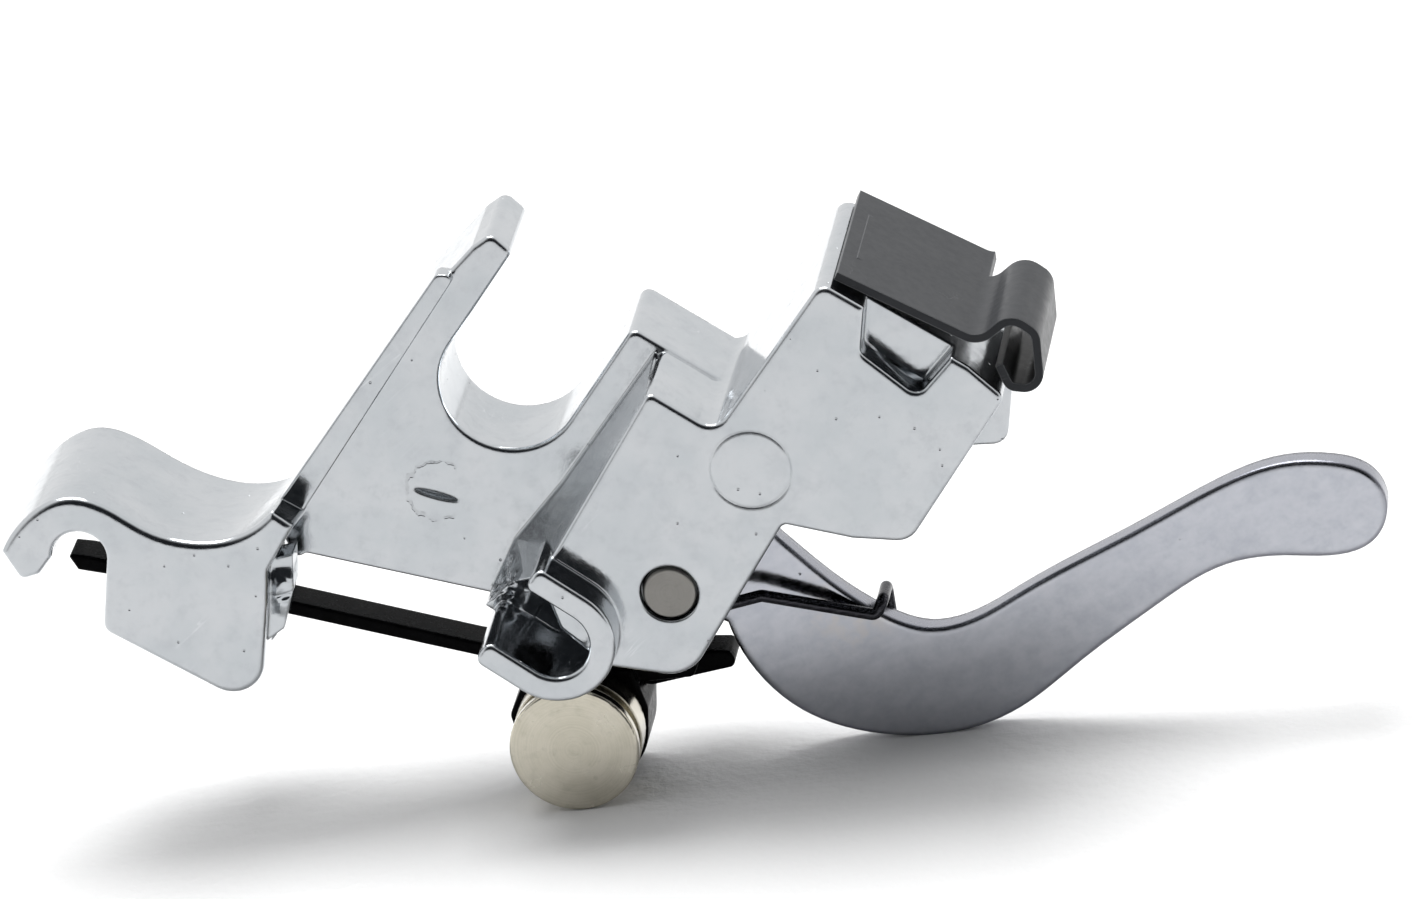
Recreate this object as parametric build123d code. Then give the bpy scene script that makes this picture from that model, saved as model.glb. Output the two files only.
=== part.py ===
"""Clip-on presser-foot holder for a sewing machine, with its release lever, latch and guide clip.

Working frame while modelling: origin on the lever pivot axis, X along the holder toward the lever
tail, Y into the holder (all pins run along Y, the near cheek's face is Y = 0), Z up.
Everything is moved at the end so the assembly stands on Z = 0, centred on the origin.
"""
import os

from build123d import *

# ---------------------------------------------------------------- driving dimensions (mm)
BODY_DEPTH = 10.0                     # near cheek face to far cheek face
CHEEK = 1.4                           # wall of both cheeks
EDGE = 0.2                            # rounding of the casting's edges
JAW_FRONT, JAW_SLOT = 1.9, (4.1, 6.75)  # near face of the hook jaw, and the slot the latch runs in
PLATE_FRONT = 5.0                     # face of the fork plate that meets the presser bar
RIB_FRONT = 4.5                       # raised rib along the outer arm

FORK_WIDTH = 5.95                     # slot for the thumb screw
FORK_CENTRE = (-6.15, 8.15)           # centre of the round end of that slot
FORK_ANGLE = 49.3                     # direction the slot opens in

LOOP_CENTRE, LOOP_ANGLE = (-4.85, -1.1), 139.0   # U-shaped guard beside the pivot
LOOP_INNER, LOOP_OUTER, LOOP_LEG = 1.48, 2.56, 2.4
LOOP_FRONT, LOOP_BACK = -1.8, 3.0

PIN_R = 1.13                          # cross pin that carries lever and latch
RUN = 0.04                            # radial running clearance on the pin
RELIEF, RELIEF_DEPTH = 0.13, 0.45     # open ring around each end of the pin

LEVER_Y = (4.95, 6.05)                # steel release lever
ARM_Y = (4.5, 6.3)                    # latch strip
LOBE_Y = (3.5, 4.75)                  # part of the latch that rides on the cross pin
EAR_Y = (3.2, 6.3)                    # ear that carries the roller

ROLLER_CENTRE, ROLLER_R = (-5.2, -6.81), 2.75
ROLLER_Y = (0.45, 3.05)
STUD_R = 0.8

WIRE_R = 0.26                         # return spring wire
COIL_R, COIL_TURNS, COIL_Y = 1.62, 2.24, 1.8
COIL_PITCH, COIL_START = 0.53, 168.5  # the coil begins beside the pin and ends below it

CLIP_T = 0.35                         # guide clip sheet
CLIP_Y, CURL_Y = (0.6, 10.2), (0.6, 7.3)


# ---------------------------------------------------------------- shape helpers
def profile(*corners):
    """Closed outline in the X-Z plane from (x, z, corner radius) triples."""
    face = make_face(Polyline(*[(x, z) for x, z, _ in corners], close=True))
    for x, z, radius in corners:
        if radius:
            face = fillet(face.vertices().sort_by_distance((x, z))[0], radius)
    return face


def slab(face, y_near, y_far, rounding=0.0):
    """Thicken an X-Z outline from y_near to y_far; rounding softens the edges of the near face."""
    solid = extrude(Plane.XZ.offset(-y_far) * face, amount=y_far - y_near, dir=(0, -1, 0))
    return fillet(edges_at(solid, y_near), rounding) if rounding else solid


def edges_at(solid, y):
    """Edges that lie flat in the plane at that depth."""
    return solid.edges().filter_by_position(Axis.Y, y - 0.001, y + 0.001)


def rod(centre, radius, y_near, y_far):
    """Round bar along Y."""
    return slab(Pos(*centre) * Circle(radius), y_near, y_far)


def stadium(centre, radius, angle, length):
    """Slot-shaped outline: round end at centre, straight sides running out along angle."""
    run = Rot(0, 0, angle) * Pos(length / 2, 0) * Rectangle(length, 2 * radius)
    return Pos(*centre) * (Circle(radius) + run)


def ring_mark(centre, radius, y_face, depth=0.05, width=0.1):
    """Shallow round groove left by an ejector pin in a cast face."""
    ring = Pos(*centre) * (Circle(radius) - Circle(radius - width))
    return slab(ring, y_face - 1, y_face + depth)


# ---------------------------------------------------------------- the casting
def jaw_outline(crest, trough, end, shoulder):
    """Side outline of the jaw: S-shaped top from crest to trough, notch for the foot's bar."""
    top = Spline((-28.25, 4.1), (-26.7, 5.68), crest, (-23.5, 5.6), (-21.9, 4.35), trough, end)
    under = Polyline(end, shoulder, (-17.1, 2.05), (-17.4, 0.4), (-18.5, -4.3), (-24.55, 0.1),
                     (-23.86, 3.3))
    notch = ThreePointArc((-23.86, 3.3), (-25.03, 4.63), (-26.2, 3.6))
    finger = Polyline((-26.2, 3.6), (-26.85, 2.9), (-27.65, 2.75), (-28.25, 4.1))
    face = make_face(top + under + notch + finger)
    rounded = [(-17.1, 2.05, 0.6), (-17.4, 0.4, 0.6), (-18.5, -4.3, 1.4), (-24.55, 0.1, 0.5),
               (-23.86, 3.3, 0.25), (-26.2, 3.6, 0.25), (-26.85, 2.9, 0.3), (-27.65, 2.75, 0.3)]
    for x, z, radius in rounded:
        face = fillet(face.vertices().sort_by_distance((x, z))[0], radius)
    return face


def jaw():
    """Hook jaw, its trough deeper toward the far side, with the slot the latch strip runs in."""
    near = jaw_outline((-25.25, 6.2), (-19.7, 3.6), (-16.5, 4.72), (-15.68, 3.95))
    far = jaw_outline((-25.0, 6.2), (-18.9, 2.95), (-16.6, 3.25), (-15.68, 2.9))
    block = loft([Plane.XZ.offset(-JAW_FRONT) * near, Plane.XZ.offset(-BODY_DEPTH) * far],
                 ruled=True)
    block = fillet(edges_at(block, JAW_FRONT), 0.28)
    latch_slot = profile((-25.4, 3.2, 0), (-19.5, 2.35, 0.6), (-14.8, 2.6, 0), (-14.8, -4, 0),
                         (-25.4, -4, 0))
    web = profile((-18.2, 2.1, 0), (-16.1, 2.4, 0), (-16.3, 0.9, 0.3), (-17.0, -0.9, 0.2),
                  (-18.2, -1.6, 0))
    return block + slab(web, JAW_FRONT + 0.8, JAW_SLOT[0]) - slab(latch_slot, *JAW_SLOT)


def fork_plate():
    """Plate with two arms that straddle the thumb screw, and a raised rib on the outer arm."""
    plate = profile((-16.5, 1.3, 0.3), (-17.0, 2.95, 0), (-9.35, 12.1, 0.4), (-6.75, 14.35, 0.5),
                    (-5.85, 14.85, 0.45), (-4.9, 13.7, 0), (-1.0, 10.35, 0), (3.0, 7.1, 0),
                    (3.0, 2.0, 0), (-3.6, 0.4, 0), (-8.4, -1.15, 0.2), (-16.0, 1.5, 0.2))
    rib = profile((-17.0, 3.75, 0), (-8.35, 13.5, 0.35), (-7.55, 13.35, 0.25), (-16.2, 3.0, 0))
    plate -= stadium(FORK_CENTRE, FORK_WIDTH / 2, FORK_ANGLE, 12)
    for tip, radius in (((-4.9, 13.7), 0.3), ((-0.6, 10.03), 0.45)):
        plate = fillet(plate.vertices().sort_by_distance(tip)[0], radius)
    plate = slab(plate, PLATE_FRONT, BODY_DEPTH)
    rim = edges_at(plate, PLATE_FRONT)
    rim = rim.sort_by_distance((FORK_CENTRE[0], PLATE_FRONT, FORK_CENTRE[1]))
    plate = fillet(rim[0:3], EDGE) + slab(rib, RIB_FRONT, PLATE_FRONT + 0.4)
    gate_scar = Pos(-10.05, 3.5) * Rot(0, 0, -22) * Ellipse(0.95, 0.15)
    return plate - slab(gate_scar, 4, PLATE_FRONT + 0.5)


def side_wedge():
    """Slanted wall between the near cheek's edge and the plate, down to the back of the guard."""
    near = Polyline((0.25, 8.6), (-2.3, 5.25), (-4.3, 2.6), (-5.35, 1.25), (-4.9, 0.9), (0.9, 8.2),
                    close=True)
    far = Polyline((0.2, 8.9), (-4.7, 3.45), (-7.15, 1.1), (-8.35, -0.85), (-7.6, -1.3), (0.9, 8.2),
                   close=True)
    wedge = loft([Plane.XZ.offset(-EDGE) * make_face(near),
                  Plane.XZ.offset(-PLATE_FRONT - 0.1) * make_face(far)], ruled=True)
    backing = profile((-8.35, -0.85, 0), (-7.6, -1.5, 0), (-6.5, -2.1, 0), (-6.15, -1.3, 0),
                      (-3.9, 0.8, 0), (-5.35, 1.25, 0))
    return wedge + slab(backing, LOOP_BACK - 0.1, PLATE_FRONT + 0.1)


def cheek_outline():
    """Side outline of the channel: trough in the top, tall shoulder under the guide clip."""
    return profile((-5.35, 1.25, 0), (0.5, 9.0, 0.35), (3.0, 6.95, 0.8), (8.35, 13.0, 0.6),
                   (13.9, 8.65, 0.35), (15.2, 7.15, 0.4), (10.35, 1.2, 1.0), (8.0, 1.6, 0),
                   (5.2, 2.55, 0.3), (0.25, -3.9, 1.7), (-3.2, -3.0, 0), (-4.85, -1.1, 0))


def channel():
    """Two cheeks joined by a top web; the lever, latch and spring sit between them."""
    pocket = profile((10.1, 12.2, 0), (9.55, 9.75, 0.45), (11.6, 7.6, 0.5), (13.3, 9.2, 0),
                     (12.0, 12.0, 0))
    near_cheek = slab(cheek_outline() - pocket, 0, CHEEK, EDGE)
    block = near_cheek + slab(cheek_outline(), CHEEK, BODY_DEPTH)
    return block - ring_mark((4.24, 5.13), 1.75, 0)


def channel_hollow():
    """Space between the cheeks, open below and toward the lever tail."""
    hollow = profile((-6.4, -5, 0), (-6.4, -1.6, 0), (-3.4, 1.2, 0.8), (0.9, 7.0, 0.5),
                     (3.0, 5.3, 1.0), (8.0, 10.9, 0.8), (12.3, 7.4, 0.8), (12.3, -5, 0))
    return slab(hollow, CHEEK, BODY_DEPTH - CHEEK)


def clip_seat():
    """Block inside the shoulder pocket that the guide clip's tang drops into, and its tail lug."""
    seat = profile((8.6, 11.4, 0), (9.3, 12.15, 0), (13.2, 9.1, 0.3), (12.3, 7.2, 0.2),
                   (9.3, 7.6, 0))
    lug = profile((12.6, 6.8, 0), (14.3, 7.4, 0), (15.2, 6.6, 0.45), (14.65, 4.15, 0.7),
                  (12.8, 4.25, 0.2))
    return slab(seat, CHEEK + 0.3, BODY_DEPTH - CHEEK, 0.7) + slab(lug, 2.6, 7.4)


def guard_loop():
    """U-shaped guard standing proud of the near cheek, open toward the fork, with a thin floor."""
    loop = stadium(LOOP_CENTRE, LOOP_OUTER, LOOP_ANGLE, LOOP_LEG)
    loop -= stadium(LOOP_CENTRE, LOOP_INNER, LOOP_ANGLE, 6)
    for tip in ((-8.34, -1.46), (-7.6, -0.7), (-4.98, 2.4), (-5.7, 1.6)):
        loop = fillet(loop.vertices().sort_by_distance(tip)[0], 0.4)
    floor = stadium(LOOP_CENTRE, LOOP_INNER + 0.3, LOOP_ANGLE, LOOP_LEG)
    return slab(loop, LOOP_FRONT, LOOP_BACK, EDGE) + slab(floor, LOOP_BACK - 0.1, LOOP_BACK + 0.15)


def loop_groove():
    return slab(stadium(LOOP_CENTRE, LOOP_INNER, LOOP_ANGLE, 6), LOOP_FRONT - 1, LOOP_BACK)


def shank_body():
    """The whole die casting with its pin bores and the clip's tang slot."""
    body = jaw() + fork_plate() + channel() + side_wedge() - channel_hollow()
    body += clip_seat() + guard_loop() - loop_groove()
    body -= rod((0, 0), PIN_R + 0.01, -1, BODY_DEPTH + 1)
    body -= rod((0, 0), PIN_R + RELIEF, -1, RELIEF_DEPTH)
    body -= rod((0, 0), PIN_R + RELIEF, BODY_DEPTH - RELIEF_DEPTH, BODY_DEPTH + 1)
    return body - slab(tang_outline(0.05), 2.95, 8.05)


# ---------------------------------------------------------------- pin, lever, latch, roller
def lever_pivot_pin():
    pin = rod((0, 0), PIN_R, 0.02, BODY_DEPTH - 0.02)
    return chamfer(pin.edges().filter_by(GeomType.CIRCLE), 0.08)


def release_lever():
    """Stamped lever: hub on the cross pin, deep belly, tail rising to a rounded thumb pad."""
    edge = Spline((4.15, -0.1), (6.0, -2.2), (7.9, -3.85), (9.8, -4.76), (11.6, -4.58), (14.0, -3.5),
                 (19.0, -1.35), (22.5, 0.2), (25.3, 1.02), (27.6, 0.9), (29.2, 0.15),
                 (29.72, -1.15), (28.9, -2.8), (27.4, -3.25), (25.2, -3.05), (22.6, -3.2),
                 (19.6, -4.65), (15.9, -6.95), (13.2, -8.7), (10.9, -9.46), (8.7, -9.55),
                 (6.1, -9.02), (3.9, -7.85), (2.4, -6.15), (1.4, -3.55))
    hub = Polyline((1.4, -3.55), (-1.9, -1.6), (-1.0, 2.2), (2.6, 2.0), (4.15, -0.1))
    outline = make_face(edge + hub)
    for corner in ((-1.9, -1.6), (-1.0, 2.2), (2.6, 2.0)):
        outline = fillet(outline.vertices().sort_by_distance(corner)[0], 0.8)
    blade = slab(outline, *LEVER_Y)
    return blade - rod((0, 0), PIN_R + RUN, 0, BODY_DEPTH)


def latch_arm():
    """Black latch: long strip into the jaw, lobe on the cross pin, ear that carries the roller."""
    strip = profile((-26.1, 2.7, 0.1), (-25.75, 1.95, 0.1), (-24.6, 1.62, 0.5), (-9.3, -3.8, 0),
                    (-2.2, -5.9, 0.8), (1.62, -5.4, 0.3), (1.3, -4.7, 0.25), (-0.2, -4.55, 0),
                    (-4.4, -4.45, 0), (-9.3, -3.17, 0), (-25.2, 2.5, 0.4))
    lobe = profile((-1.7, 1.95, 0.9), (2.0, 1.6, 1.0), (1.7, -1.6, 1.0), (-0.2, -5.3, 0.3),
                   (-4.6, -5.3, 0.3), (-6.5, -3.6, 0.4), (-5.7, -1.5, 0.5), (-3.2, 0.75, 0.5))
    ear = profile((-8.2, -6.1, 0.5), (-7.2, -4.3, 0), (-2.7, -4.6, 0), (-2.3, -6.4, 0.4),
                  (-2.75, -9.5, 2.3), (-7.65, -9.5, 2.3))
    arm = slab(strip, *ARM_Y, 0.1) + slab(lobe, *LOBE_Y, 0.1) + slab(ear, *EAR_Y, 0.15)
    arm -= rod((0, 0), PIN_R + RUN, 0, BODY_DEPTH)
    return arm - rod(ROLLER_CENTRE, STUD_R + 0.01, 0, BODY_DEPTH)


def roller():
    """Spool-shaped nickel roller: solid face, groove, rear flange."""
    near, far = ROLLER_Y
    spool = rod(ROLLER_CENTRE, ROLLER_R, near, far)
    spool = fillet(spool.edges().filter_by(GeomType.CIRCLE), 0.12)
    groove = Pos(*ROLLER_CENTRE) * (Circle(ROLLER_R + 1) - Circle(ROLLER_R - 0.3))
    spool -= slab(groove, near + 0.45, near + 1.15)
    return spool - rod(ROLLER_CENTRE, STUD_R + RUN, near + 0.8, far + 1)


def roller_stud():
    """Plain stud fixed in the ear; its shoulder keeps the roller off the ear's face."""
    stud = rod(ROLLER_CENTRE, STUD_R, ROLLER_Y[0] + 0.85, EAR_Y[1] + 0.35)
    return chamfer(stud.edges().filter_by(GeomType.CIRCLE), 0.1)


def roller_washer():
    """Thin shim between roller and ear."""
    return slab(Pos(*ROLLER_CENTRE) * (Circle(1.7) - Circle(STUD_R + 0.03)), 3.07, 3.18)


def stud_ring():
    """Push-on retaining ring at the back of the stud."""
    return slab(Pos(*ROLLER_CENTRE) * (Circle(1.5) - Circle(STUD_R + 0.01)), 6.32, 6.6)


def sleeve(radius, y_near, y_far):
    """Spacer tube on the cross pin."""
    return slab(Circle(radius) - Circle(PIN_R + 0.02), y_near, y_far)


# ---------------------------------------------------------------- spring and guide clip
def lever_spring():
    """Torsion spring: coil round the front sleeve, long leg hooked over the lever's edge."""
    coil = Helix(COIL_PITCH, COIL_PITCH * COIL_TURNS, COIL_R, lefthand=True)
    coil = Rot(0, -COIL_START, 0) * Pos(0, COIL_Y, 0) * Rot(-90, 0, 0) * coil
    tail = Line(coil @ 0 - 1.6 * (coil % 0), coil @ 0)
    leg = FilletPolyline(coil @ 1, coil @ 1 + 1.9 * (coil % 1), (3.15, 3.95, -2.1), (7.75, 4.6, -3.75),
                         (8.1, 4.7, -3.15), (8.1, 6.4, -3.15), (8.1, 6.4, -4.6), radius=0.3)
    path = Wire([tail, *coil.edges(), *leg.edges()])
    return sweep(Plane(origin=path @ 0, z_dir=path % 0) * Circle(WIRE_R), path=path)


def tang_outline(extra=0.0):
    """Short tang at the root of the clip that is pressed into the casting."""
    half = CLIP_T / 2 + extra
    return Pos(9.15, 12.0) * Rot(0, 0, -37) * Rectangle(2 * half, 1.9 + 2 * extra)


def guide_clip():
    """Leaf pressed into the shoulder and rolled into a tall eye for the quilting guide rod."""
    bends = {(14.4, 9.45): 1.0, (15.85, 10.45): 0.8, (16.8, 9.6): 0.7, (16.65, 7.1): 0.65,
             (15.4, 7.4): 0.4}
    path = FilletPolyline((8.95, 13.05), *bends, (15.1, 8.4), radius=list(bends.values()))
    sheet = slab(trace(path, CLIP_T), *CLIP_Y)
    sheet -= slab(Pos(18.3, 9) * Rectangle(8, 8), CURL_Y[1], CLIP_Y[1] + 1)
    return sheet + slab(tang_outline(), 3.0, 8.0)


# ---------------------------------------------------------------- assembly
def assembly():
    return {
        "shank_body": shank_body(),
        "lever_pivot_pin": lever_pivot_pin(),
        "front_sleeve": sleeve(1.3, 1.45, 3.15),
        "middle_shim": sleeve(2.0, 4.78, 4.92),
        "rear_sleeve": sleeve(2.0, 6.08, 8.55),
        "release_lever": release_lever(),
        "lever_spring": lever_spring(),
        "latch_arm": latch_arm(),
        "roller": roller(),
        "roller_stud": roller_stud(),
        "roller_washer": roller_washer(),
        "stud_ring": stud_ring(),
        "guide_clip": guide_clip(),
    }


os.makedirs("parts", exist_ok=True)
nodes = assembly()
box = Compound(children=[Compound(list(shape.solids())) for shape in nodes.values()]).bounding_box()
home = Pos(-box.center().X, -box.center().Y, -box.min.Z)
print("pivot axis ends up at", home.position, "overall", box.size)
for name, shape in nodes.items():
    placed = home * shape
    solids = placed.solids()
    print(name, len(solids), "solid, volume", round(placed.volume, 2))
    export_step(solids[0] if len(solids) == 1 else Compound(solids), f"parts/{name}.step")
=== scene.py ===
"""Looks of the clip-on presser-foot holder: procedural metals, pale floor, soft studio light, camera."""
from math import cos, radians, sin

import bpy
from mathutils import Matrix, Vector

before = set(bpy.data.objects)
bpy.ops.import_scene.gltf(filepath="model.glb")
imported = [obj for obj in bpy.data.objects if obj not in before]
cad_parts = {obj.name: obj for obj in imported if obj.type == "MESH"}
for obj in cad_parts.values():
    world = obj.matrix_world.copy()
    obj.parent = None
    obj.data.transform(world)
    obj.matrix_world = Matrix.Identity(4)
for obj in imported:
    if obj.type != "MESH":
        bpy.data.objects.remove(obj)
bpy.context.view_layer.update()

MM = 0.001
PIVOT = Vector((-0.735, -4.2, 9.578)) * MM      # lever pivot axis at the near cheek, row frame

# Places on the part as (x, z), in millimetres from the lever pivot.
PIN_AXIS = (0, 0)
ROLLER_AXIS = (-5.2, -6.81)
SPRING_FOOT = (6.6, -3.4)                       # stained place beside the spring's leg
GATE_SCAR, SCAR_RADIUS = (-10.0, 3.7), 1.3      # ring round the slit in the fork plate
FLASH_CORNERS = (((-16.6, 0.7), 1.3), ((-7.9, -0.1), 1.7))      # crumpled flash: place, reach

# Depths behind the near cheek's face, in millimetres.
PLATE_SKIN = (4.85, 5.3)                        # only the face of the fork plate
FLASH_DEPTH = (2.4, 4.85)                       # only what lies in front of that face

# Studio, in metres, and camera.
DARK_SIDE = (0.16, -0.92, 0.36)                 # direction in which the tent is open
TENT_STRENGTH = 1.1
SOFTBOX_AT, SOFTBOX_SIZE, SOFTBOX_WATTS = (-0.06, 0.20, 0.50), (0.34, 0.30), 2.5
FLOOR_SIZE = 3.0
AZIMUTH, ELEVATION, ROLL = 9.9, 20.9, 9.4       # degrees
AIM = Vector((1.636, -1.746, 14.835)) * MM
CAMERA_DISTANCE = 0.45
FOCAL_LENGTH, SENSOR_WIDTH = 272.8, 36.0        # millimetres


# ---------------------------------------------------------------- node helpers
def add(tree, kind, inputs=None, **settings):
    """New node; each input is a constant or another node's socket."""
    node = tree.nodes.new(kind)
    for key, value in settings.items():
        setattr(node, key, value)
    for key, value in (inputs or {}).items():
        if isinstance(value, bpy.types.NodeSocket):
            tree.links.new(value, node.inputs[key])
        else:
            node.inputs[key].default_value = value
    return node


def millimetres(tree, stretch=(1, 1, 1), turn=(0, 0, 0), at=(0, 0, 0)):
    """Object coordinates in millimetres, stretched or turned for directional patterns."""
    place = add(tree, "ShaderNodeTexCoord").outputs["Object"]
    scale = [1000 * s for s in stretch]
    turned = add(tree, "ShaderNodeMapping", {"Vector": place, "Rotation": [radians(a) for a in turn]})
    return add(tree, "ShaderNodeMapping", {"Vector": turned.outputs[0], "Scale": scale,
                                           "Location": at}).outputs[0]


def noise(tree, where, scale, detail=3.0, rough=0.5, distort=0.0):
    inputs = {"Vector": where, "Scale": scale, "Detail": detail, "Roughness": rough,
              "Distortion": distort}
    return add(tree, "ShaderNodeTexNoise", inputs).outputs["Fac"]


def spread(tree, value, low, high, to_low=0.0, to_high=1.0):
    """Smoothly map low..high to to_low..to_high, clamped."""
    inputs = {"Value": value, "From Min": low, "From Max": high, "To Min": to_low, "To Max": to_high}
    return add(tree, "ShaderNodeMapRange", inputs, interpolation_type="SMOOTHSTEP").outputs[0]


def calc(tree, operation, a, b=0.0):
    """One maths operation on two numbers or sockets."""
    return add(tree, "ShaderNodeMath", {0: a, 1: b}, operation=operation).outputs[0]


def tint(tree, factor, a, b):
    """Mix of two colours, constants or sockets."""
    node = add(tree, "ShaderNodeMix", {"Factor": factor}, data_type="RGBA")
    for socket, value in ((node.inputs[6], a), (node.inputs[7], b)):
        if isinstance(value, bpy.types.NodeSocket):
            tree.links.new(value, socket)
        else:
            socket.default_value = (*value, 1)
    return node.outputs[2]


def overlay(tree, colour, mask, strength, over):
    """Lay another colour over the first, as strongly as the mask and the strength say."""
    return tint(tree, calc(tree, "MULTIPLY", mask, strength), colour, over)


def bump(tree, height, depth_mm, normal):
    inputs = {"Height": height, "Distance": depth_mm * MM, "Strength": 1.0, "Normal": normal}
    return add(tree, "ShaderNodeBump", inputs).outputs[0]


def rounded(tree, radius_mm):
    """Normal that runs softly round the edges."""
    return add(tree, "ShaderNodeBevel", {"Radius": radius_mm * MM}, samples=8).outputs[0]


def edge_mask(tree, normal):
    """1 along edges, 0 on the flats."""
    flat = add(tree, "ShaderNodeNewGeometry").outputs["True Normal"]
    along = add(tree, "ShaderNodeVectorMath", {0: normal, 1: flat}, operation="DOT_PRODUCT")
    return spread(tree, along.outputs["Value"], 0.995, 0.90)


def side_wall(tree):
    """1 on faces that run along Y (the sheared edge of a stamping), 0 on its two broad faces."""
    flat = add(tree, "ShaderNodeNewGeometry").outputs["True Normal"]
    along = add(tree, "ShaderNodeSeparateXYZ", {0: flat}).outputs["Y"]
    return spread(tree, calc(tree, "ABSOLUTE", along), 0.7, 0.5)


def specks(tree, per_mm, size, share, seed):
    """Sparse round dots: size is a share of the cell, share how many cells have one."""
    where = millimetres(tree, at=(seed, seed, 0))
    cell = add(tree, "ShaderNodeTexVoronoi", {"Vector": where, "Scale": per_mm})
    chance = add(tree, "ShaderNodeSeparateColor", {"Color": cell.outputs["Color"]}).outputs[0]
    here = calc(tree, "LESS_THAN", chance, share)
    return calc(tree, "MULTIPLY", spread(tree, cell.outputs["Distance"], size, size * 0.4), here)


def hairlines(tree, turn, seed, width=0.006):
    """Few fine scratches: thin level lines of a long stretched noise, broken up by a second one."""
    long_way = millimetres(tree, (0.08, 1, 1.6), (0, turn, 0), (seed, 0, seed))
    line = calc(tree, "ABSOLUTE", calc(tree, "SUBTRACT", noise(tree, long_way, 1.0, 2.0), 0.5))
    line = spread(tree, line, width, width * 0.3)
    patches = spread(tree, noise(tree, millimetres(tree, at=(0, seed, 0)), 0.25), 0.58, 0.66)
    return calc(tree, "MULTIPLY", line, patches)


def distance_from(tree, place):
    """Millimetres from a line along Y through place."""
    offset = (-PIVOT[0] / MM - place[0], 0, -PIVOT[2] / MM - place[1])
    flat = millimetres(tree, (1, 0, 1), at=offset)
    return add(tree, "ShaderNodeVectorMath", {0: flat}, operation="LENGTH").outputs["Value"]


def near(tree, place, reach):
    """1 close to place, fading to 0 at reach millimetres."""
    return spread(tree, distance_from(tree, place), reach, reach * 0.3)


def in_depth(tree, low, high):
    """1 between two depths behind the near cheek's face, in millimetres."""
    depth = add(tree, "ShaderNodeSeparateXYZ", {0: millimetres(tree)}).outputs["Y"]
    depth = calc(tree, "SUBTRACT", depth, PIVOT[1] / MM)
    return calc(tree, "MULTIPLY", calc(tree, "GREATER_THAN", depth, low),
                calc(tree, "LESS_THAN", depth, high))


def scar_ring(tree, where):
    """Broken, wobbly ring left where a casting gate was cut off."""
    wobble = noise(tree, where, 1.1, 3.0, 0.6)
    away = calc(tree, "ADD", distance_from(tree, GATE_SCAR), calc(tree, "MULTIPLY", wobble, 1.1))
    away = calc(tree, "ABSOLUTE", calc(tree, "SUBTRACT", away, SCAR_RADIUS + 0.55))
    broken = spread(tree, noise(tree, where, 0.9, 2.0), 0.42, 0.52)
    return calc(tree, "MULTIPLY", spread(tree, away, 0.09, 0.03), broken)


def metal(name, colour, roughness):
    """Principled metal with its tree; colour and roughness may be replaced by links later."""
    material = bpy.data.materials.new(name)
    material.use_nodes = True
    tree = material.node_tree
    shader = tree.nodes["Principled BSDF"]
    shader.inputs["Metallic"].default_value = 1.0
    shader.inputs["Base Color"].default_value = (*colour, 1)
    shader.inputs["Roughness"].default_value = roughness
    return material, tree, shader


def wire_up(tree, shader, **sockets):
    """Link sockets to the shader by input name, underscores for spaces."""
    for name, socket in sockets.items():
        tree.links.new(socket, shader.inputs[name.replace("_", " ")])


# ---------------------------------------------------------------- the metals
def casting_marks(tree, where):
    """Pits and the gate scar of the casting, 1 where the skin is broken."""
    pits = specks(tree, 0.7, 0.09, 0.07, 4.0)
    fine_pits = specks(tree, 2.2, 0.16, 0.08, 9.0)
    scar = calc(tree, "MULTIPLY", scar_ring(tree, where), in_depth(tree, *PLATE_SKIN))
    marks = calc(tree, "MAXIMUM", pits, calc(tree, "MULTIPLY", fine_pits, 0.8))
    return calc(tree, "MAXIMUM", marks, calc(tree, "MULTIPLY", scar, 0.45))


def crumpled_flash(tree, where):
    """Height of the folded flash at the two lower corners of the fork plate."""
    corners = [near(tree, place, reach) for place, reach in FLASH_CORNERS]
    flash = calc(tree, "MAXIMUM", *corners)
    flash = calc(tree, "MULTIPLY", flash, in_depth(tree, *FLASH_DEPTH))
    return calc(tree, "MULTIPLY", noise(tree, where, 1.0, 2.0, 0.5, 0.4), flash)


def cast_chrome():
    """Plated zinc casting: near mirror with slow waves, mottling, pits and cut-off flash."""
    material, tree, shader = metal("cast_chrome", (0.48, 0.5, 0.52), 0.14)
    where = millimetres(tree)
    cloud = noise(tree, where, 0.35, 4.0, 0.6)
    mottle = noise(tree, where, 1.3, 5.0, 0.7)
    grain = noise(tree, where, 4.5, 3.0, 0.6)
    normal = rounded(tree, 0.2)
    edge = edge_mask(tree, normal)
    marks = casting_marks(tree, where)
    scratch = hairlines(tree, 35, 2.0)
    colour = tint(tree, spread(tree, cloud, 0.35, 0.65), (0.46, 0.483, 0.503), (0.50, 0.517, 0.535))
    colour = tint(tree, spread(tree, mottle, 0.45, 0.75, 0.0, 0.5), colour, (0.40, 0.415, 0.44))
    colour = overlay(tree, colour, marks, 0.4, (0.16, 0.16, 0.165))
    colour = overlay(tree, colour, scratch, 0.25, (0.8, 0.81, 0.83))
    dull = spread(tree, mottle, 0.3, 0.7, 0.10, 0.19)
    dull = calc(tree, "ADD", dull, calc(tree, "MULTIPLY", edge, -0.05))
    waves = bump(tree, cloud, 0.012, normal)
    crumpled = bump(tree, crumpled_flash(tree, where), 0.5, waves)
    peel = bump(tree, grain, 0.003, crumpled)
    dents = bump(tree, calc(tree, "SUBTRACT", 1.0, marks), 0.03, peel)
    wire_up(tree, shader, Base_Color=colour, Roughness=dull, Normal=dents)
    return material


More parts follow.
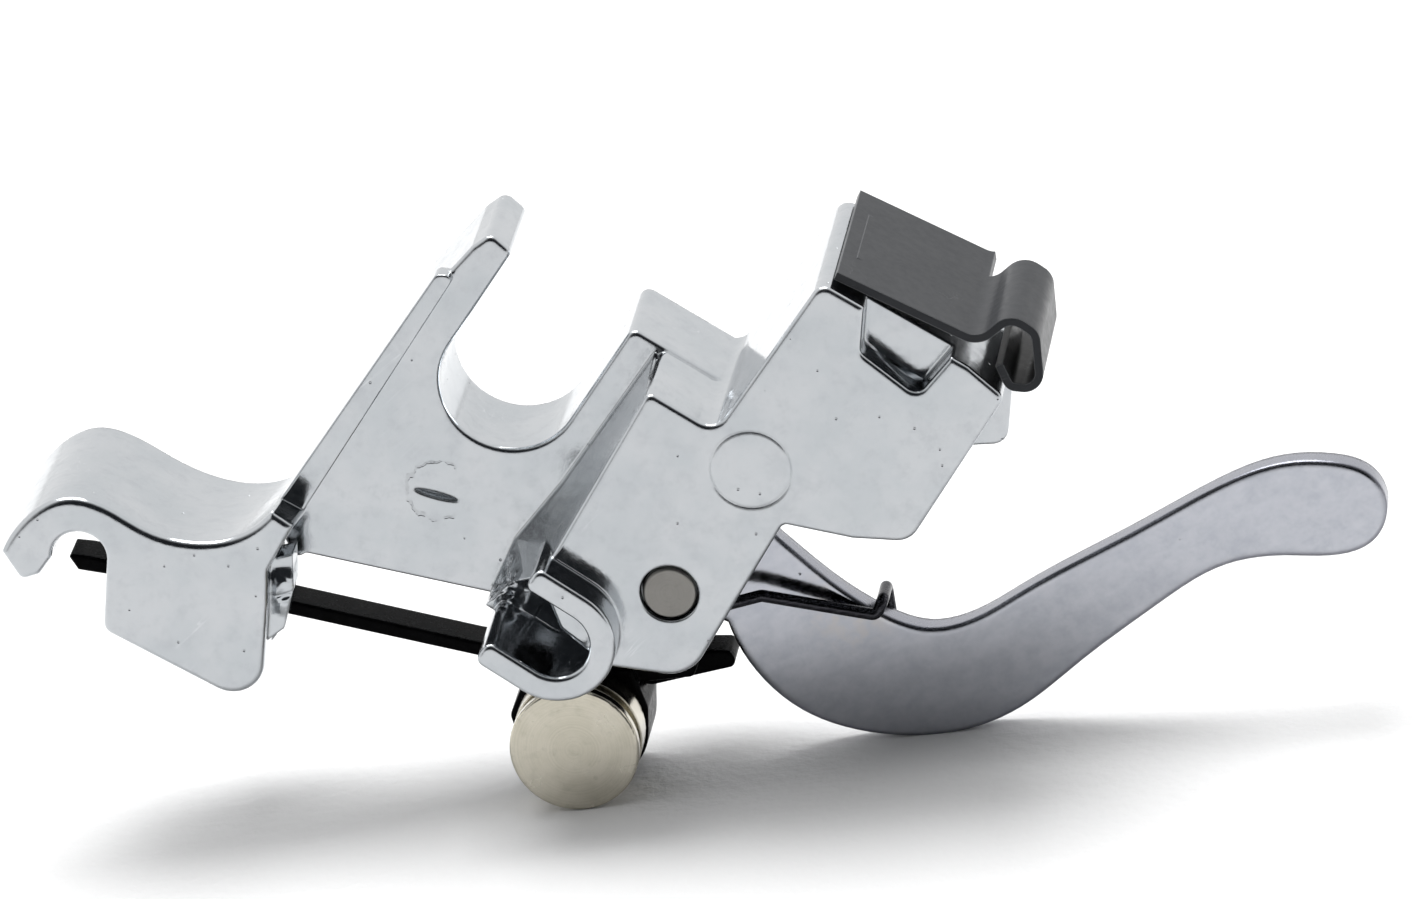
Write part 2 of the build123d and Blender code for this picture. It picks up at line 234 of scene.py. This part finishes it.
def lever_chrome():
    """Pressed lever: bright plating, darker sheared edge, painted dark reflection lines along the edges,
    mottled, warm stains at the spring.
    """
    material, tree, shader = metal("lever_chrome", (0.52, 0.54, 0.6), 0.15)
    where = millimetres(tree)
    along = noise(tree, millimetres(tree, (0.35, 1, 1), (0, 20, 0)), 1.4, 4.0, 0.6)
    mottle = noise(tree, where, 1.8, 5.0, 0.7)
    normal = rounded(tree, 0.45)
    edge = edge_mask(tree, normal)
    pits = specks(tree, 1.3, 0.10, 0.12, 3.0)
    stain = calc(tree, "MULTIPLY", near(tree, SPRING_FOOT, 2.6), spread(tree, mottle, 0.42, 0.62))
    colour = tint(tree, spread(tree, mottle, 0.3, 0.7), (0.385, 0.40, 0.442), (0.45, 0.46, 0.50))
    colour = tint(tree, spread(tree, along, 0.4, 0.7, 0.0, 0.35), colour, (0.52, 0.53, 0.57))
    colour = overlay(tree, colour, stain, 0.3, (0.50, 0.43, 0.34))
    colour = overlay(tree, colour, pits, 0.5, (0.2, 0.2, 0.21))
    wall = side_wall(tree)
    colour = overlay(tree, colour, wall, 0.75, (0.26, 0.265, 0.30))
    # Painted reflection: dark lines along every rounded edge stand in for the reflection of the dark
    # open side of the tent.
    colour = overlay(tree, colour, edge, 0.55, (0.10, 0.10, 0.12))
    dull = spread(tree, mottle, 0.3, 0.7, 0.11, 0.19)
    dull = calc(tree, "ADD", dull, calc(tree, "MULTIPLY", wall, 0.12))
    peel = bump(tree, along, 0.006, normal)
    dents = bump(tree, calc(tree, "SUBTRACT", 1.0, pits), 0.02, peel)
    wire_up(tree, shader, Base_Color=colour, Roughness=dull, Normal=dents)
    return material


def turned_steel(name, dark, light, axis, roughness):
    """Turned steel: fine rings round an axis along Y, an oily film, blemishes, a painted bright rim
    highlight.
    """
    material, tree, shader = metal(name, light, roughness)
    radius = distance_from(tree, axis)
    rings = add(tree, "ShaderNodeTexNoise", {"W": radius, "Scale": 14.0, "Detail": 4.0},
                noise_dimensions="1D").outputs["Fac"]
    film = noise(tree, millimetres(tree), 0.9, 4.0, 0.6)
    patches = spread(tree, noise(tree, millimetres(tree), 1.6, 5.0, 0.7), 0.52, 0.7)
    blemish = calc(tree, "MAXIMUM", specks(tree, 1.4, 0.2, 0.2, 6.0), patches)
    normal = rounded(tree, 0.12)
    edge = edge_mask(tree, normal)
    colour = tint(tree, spread(tree, film, 0.35, 0.65), dark, light)
    colour = tint(tree, spread(tree, rings, 0.35, 0.65, 0.0, 0.2), colour, [c * 1.25 for c in light])
    colour = overlay(tree, colour, blemish, 0.35, [c * 0.72 for c in dark])
    # Painted highlight: a bright rim painted along the rounded edges.
    colour = overlay(tree, colour, edge, 0.6, [c * 1.5 for c in light])
    dull = spread(tree, film, 0.3, 0.7, roughness - 0.05, roughness + 0.08)
    wire_up(tree, shader, Base_Color=colour, Roughness=dull, Normal=bump(tree, rings, 0.002, normal))
    return material


def black_steel():
    """Blackened latch: deep black with a soft sheen, small bright nicks and dusty specks."""
    material, tree, shader = metal("black_steel", (0.02, 0.02, 0.022), 0.3)
    shader.inputs["Metallic"].default_value = 0.0
    shader.inputs["Specular IOR Level"].default_value = 0.02
    grain = noise(tree, millimetres(tree), 2.5, 4.0, 0.6)
    normal = rounded(tree, 0.18)
    nicks = specks(tree, 1.1, 0.12, 0.10, 5.0)
    colour = tint(tree, spread(tree, grain, 0.3, 0.7), (0.0012, 0.0012, 0.0014), (0.003, 0.003, 0.0035))
    colour = overlay(tree, colour, nicks, 0.7, (0.32, 0.31, 0.29))
    dull = spread(tree, grain, 0.3, 0.7, 0.22, 0.36)
    wire_up(tree, shader, Base_Color=colour, Roughness=dull, Normal=bump(tree, grain, 0.001, normal))
    return material


def spring_wire():
    """Oiled black music wire with drawn lengthwise streaks."""
    material, tree, shader = metal("spring_wire", (0.04, 0.04, 0.045), 0.22)
    streak = noise(tree, millimetres(tree, (0.3, 3, 3)), 4.0, 3.0, 0.6)
    colour = tint(tree, spread(tree, streak, 0.3, 0.7), (0.020, 0.020, 0.024), (0.055, 0.055, 0.062))
    dull = spread(tree, streak, 0.3, 0.7, 0.16, 0.32)
    normal = add(tree, "ShaderNodeNewGeometry").outputs["Normal"]
    wire_up(tree, shader, Base_Color=colour, Roughness=dull, Normal=bump(tree, streak, 0.002, normal))
    return material


def blued_spring_steel():
    """Dark satin spring sheet: even blue-black film, a few faint scratches, worn edges."""
    material, tree, shader = metal("blued_spring_steel", (0.03, 0.032, 0.036), 0.34)
    shader.inputs["Metallic"].default_value = 0.0
    shader.inputs["Specular IOR Level"].default_value = 0.13
    satin = noise(tree, millimetres(tree), 2.5, 4.0, 0.6)
    cloud = noise(tree, millimetres(tree), 0.45, 4.0, 0.6)
    normal = rounded(tree, 0.08)
    edge = edge_mask(tree, normal)
    scratch = hairlines(tree, 10, 7.0, 0.008)
    colour = tint(tree, spread(tree, cloud, 0.35, 0.65), (0.027, 0.029, 0.033), (0.032, 0.034, 0.038))
    colour = overlay(tree, colour, scratch, 0.2, (0.32, 0.33, 0.34))
    colour = overlay(tree, colour, edge, 0.35, (0.30, 0.31, 0.32))
    dull = spread(tree, satin, 0.3, 0.7, 0.28, 0.36)
    wire_up(tree, shader, Base_Color=colour, Roughness=dull, Normal=normal)
    return material


def nickel():
    """Warm satin nickel of the roller, with turned rings round its own axis."""
    return turned_steel("nickel", (0.48, 0.453, 0.376), (0.55, 0.52, 0.44), ROLLER_AXIS, 0.2)


def pin_steel():
    """Dull turned steel of the cross pin."""
    return turned_steel("pin_steel", (0.19, 0.184, 0.173), (0.235, 0.228, 0.214), PIN_AXIS, 0.34)


def plain_steel():
    """Bare steel of the spacers on the cross pin and of the roller's stud and washer."""
    return turned_steel("plain_steel", (0.32, 0.32, 0.32), (0.42, 0.42, 0.42), PIN_AXIS, 0.28)


def dress():
    """Give each CAD node the metal of its material slot in the record."""
    makers = {"cast_chrome": cast_chrome, "lever_chrome": lever_chrome, "pin_steel": pin_steel,
              "plain_steel": plain_steel, "nickel": nickel, "black_steel": black_steel,
              "spring_wire": spring_wire, "blued_spring_steel": blued_spring_steel}
    made = {slot: make() for slot, make in makers.items()}
    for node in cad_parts.values():
        for slot in node.material_slots:
            slot.material = made[slot.material.name.split(".")[0]]


# ---------------------------------------------------------------- floor, light, camera
def floor():
    """Pale matt table top with a fine leathery grain."""
    bpy.ops.mesh.primitive_plane_add(size=FLOOR_SIZE)
    table = bpy.context.object
    table.name = "floor"
    material = bpy.data.materials.new("pale_floor")
    material.use_nodes = True
    tree = material.node_tree
    shader = tree.nodes["Principled BSDF"]
    shader.inputs["Roughness"].default_value = 0.6
    shade = noise(tree, millimetres(tree), 0.02, 3.0)
    colour = tint(tree, spread(tree, shade, 0.3, 0.7), (0.88, 0.88, 0.88), (0.91, 0.91, 0.91))
    grain = noise(tree, millimetres(tree), 1.6, 3.0, 0.55)
    flat = add(tree, "ShaderNodeNewGeometry").outputs["Normal"]
    wire_up(tree, shader, Base_Color=colour, Normal=bump(tree, grain, 0.06, flat))
    table.data.materials.append(material)


def softbox():
    """One large soft light over and behind the object, facing the origin."""
    light = bpy.data.lights.new("top_softbox", "AREA")
    light.shape = "RECTANGLE"
    light.size, light.size_y = SOFTBOX_SIZE
    light.energy = SOFTBOX_WATTS
    holder = bpy.data.objects.new("top_softbox", light)
    bpy.context.scene.collection.objects.link(holder)
    holder.location = SOFTBOX_AT
    holder.rotation_euler = Vector(SOFTBOX_AT).to_track_quat("Z", "Y").to_euler()


def studio():
    """White tent over and behind the object, dark room on the side that the camera looks from."""
    world = bpy.data.worlds.new("tent")
    bpy.context.scene.world = world
    world.use_nodes = True
    tree = world.node_tree
    opening = Vector(DARK_SIDE).normalized()
    direction = add(tree, "ShaderNodeTexCoord").outputs["Generated"]
    facing = add(tree, "ShaderNodeVectorMath", {0: direction, 1: opening}, operation="DOT_PRODUCT")
    gap = spread(tree, facing.outputs["Value"], 0.25, 0.85)
    colour = tint(tree, gap, (1.0, 1.0, 1.0), (0.02, 0.022, 0.025))
    backdrop = tree.nodes["Background"]
    tree.links.new(colour, backdrop.inputs["Color"])
    backdrop.inputs["Strength"].default_value = TENT_STRENGTH
    softbox()


def photograph_camera():
    """Long lens looking down on the near side, rolled a little."""
    azimuth, elevation, roll = radians(AZIMUTH), radians(ELEVATION), radians(ROLL)
    across = Vector((cos(azimuth), sin(azimuth), 0))
    back = Vector((sin(azimuth) * cos(elevation), -cos(azimuth) * cos(elevation), sin(elevation)))
    upward = back.cross(across)
    right = across * cos(roll) - upward * sin(roll)
    up = across * sin(roll) + upward * cos(roll)
    camera = bpy.data.cameras.new("camera")
    camera.lens = FOCAL_LENGTH
    camera.sensor_width = SENSOR_WIDTH
    camera.clip_start = 0.01
    holder = bpy.data.objects.new("camera", camera)
    bpy.context.scene.collection.objects.link(holder)
    turn = Matrix((right, up, back)).transposed().to_4x4()
    holder.matrix_world = Matrix.Translation(AIM + back * CAMERA_DISTANCE) @ turn
    bpy.context.scene.camera = holder


dress()
floor()
studio()
photograph_camera()
bpy.context.scene.view_settings.view_transform = "Standard"
